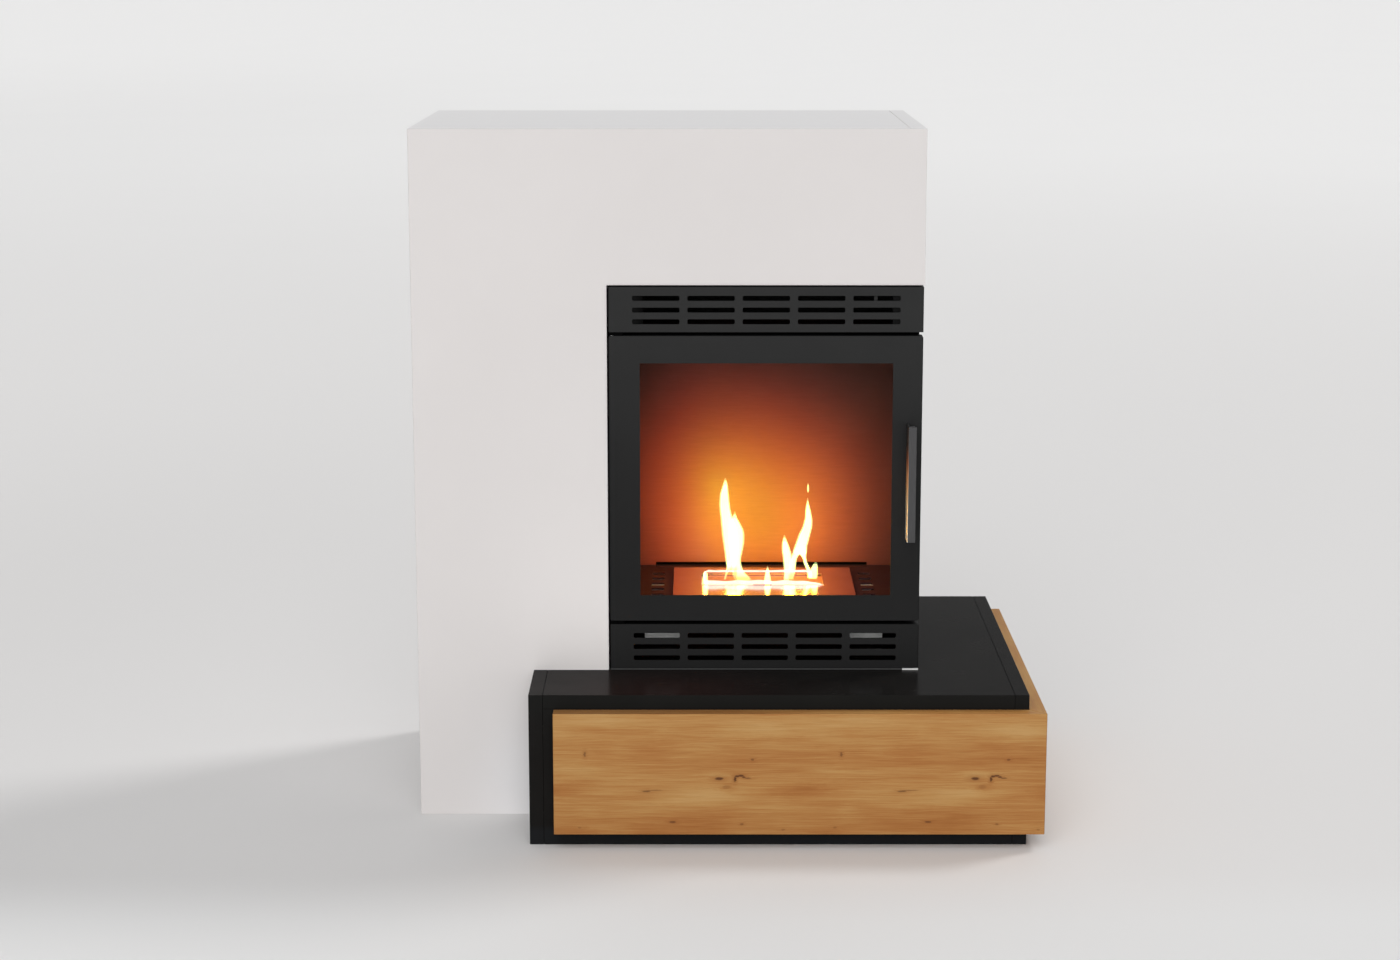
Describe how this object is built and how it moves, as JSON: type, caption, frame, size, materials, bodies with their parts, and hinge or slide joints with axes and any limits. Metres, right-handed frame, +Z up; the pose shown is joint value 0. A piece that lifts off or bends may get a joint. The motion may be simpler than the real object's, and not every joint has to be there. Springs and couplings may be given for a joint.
{
  "type": "bioethanol fireplace",
  "caption": "Free-standing bioethanol fireplace: white board surround, glazed black steel stove with slotted grilles, on an oak-clad L-shaped bench base.",
  "frame": {"origin": "middle of the bounding box's bottom face, on the floor", "axes": "+Z up; the front with the stove door looks along -Y; +X is to the right as seen from the front"},
  "size_m": [0.984, 0.675, 1.1],
  "materials": {
    "white_board": "painted board, fine matt white",
    "black_board": "black laminated board, satin",
    "oak": "natural oak, satin",
    "black_steel": "black powder coat, matt",
    "liner_steel": "heat-resistant paint, lit by the flames",
    "zinc_steel": "galvanised",
    "polished_steel": "polished stainless steel",
    "handle_steel": "brushed, dark",
    "brass": "turned brass",
    "ceramic_fibre": "absorbent ceramic fibre block",
    "rope_seal": "woven glass-fibre seal, black",
    "glass": "clear heat-resistant glass",
    "magnet": "black housing",
    "shim": "pale plastic packing strip"
  },
  "bodies": {
    "hearth": {"surround_front": "white_board", "surround_left": "white_board", "surround_top": "white_board", "surround_right": "white_board", "surround_cheek": "white_board", "surround_soffit": "white_board", "surround_back": "white_board", "base_top": "black_board", "base_side_left": "black_board", "base_side_right": "black_board", "base_front": "black_board", "base_back": "black_board", "base_divider_left": "black_board", "base_divider_mid": "black_board", "oak_front": "oak", "oak_side": "oak", "stove_base_plate": "black_steel", "levelling_shim": "shim", "casing_left": "black_steel", "casing_right": "black_steel", "casing_back": "black_steel", "casing_top": "black_steel", "front_frame": "black_steel", "grille_top": "black_steel", "grille_bottom": "black_steel", "grille_clip_left": "black_steel", "grille_clip_right": "black_steel", "hinge_tab_top": "black_steel", "hinge_tab_bottom": "black_steel", "burner_bracket_left": "zinc_steel", "burner_bracket_right": "zinc_steel", "hinge_pin_top": "zinc_steel", "hinge_pin_bottom": "zinc_steel", "firebox_floor": "liner_steel", "firebox_left": "liner_steel", "firebox_right": "liner_steel", "firebox_back": "liner_steel", "firebox_baffle": "liner_steel", "catch_magnet": "magnet"},
    "door": {"door_frame": "black_steel", "door_inner_frame": "black_steel", "door_seal": "rope_seal", "glass_gasket": "rope_seal", "door_glass": "glass", "glass_retainer_top": "zinc_steel", "glass_retainer_bottom": "zinc_steel", "retainer_screw_1": "zinc_steel", "retainer_screw_2": "zinc_steel", "retainer_screw_3": "zinc_steel", "retainer_screw_4": "zinc_steel", "door_handle": "handle_steel", "handle_screw_top": "zinc_steel", "handle_screw_bottom": "zinc_steel", "hinge_bush_top": "brass", "hinge_bush_bottom": "brass", "catch_strike": "zinc_steel"},
    "burner": {"burner_tray": "zinc_steel", "burner_pad": "ceramic_fibre", "burner_plate": "polished_steel"},
    "lid": {"burner_lid": "handle_steel"}
  },
  "joints": [
    {"name": "door_hinge", "type": "hinge", "parent": "hearth", "child": "door", "pos_m": [-0.1792, -0.1601, 0.55], "axis": [0, 0, -1], "range_deg": [0, 110]},
    {"name": "burner_lift", "type": "slide", "parent": "hearth", "child": "burner", "axis": [0, 0, 1], "range_m": [0, 0.08]},
    {"name": "lid_slide", "type": "slide", "parent": "burner", "child": "lid", "axis": [0, 1, 0], "range_m": [0, 0.0805]}
  ]
}
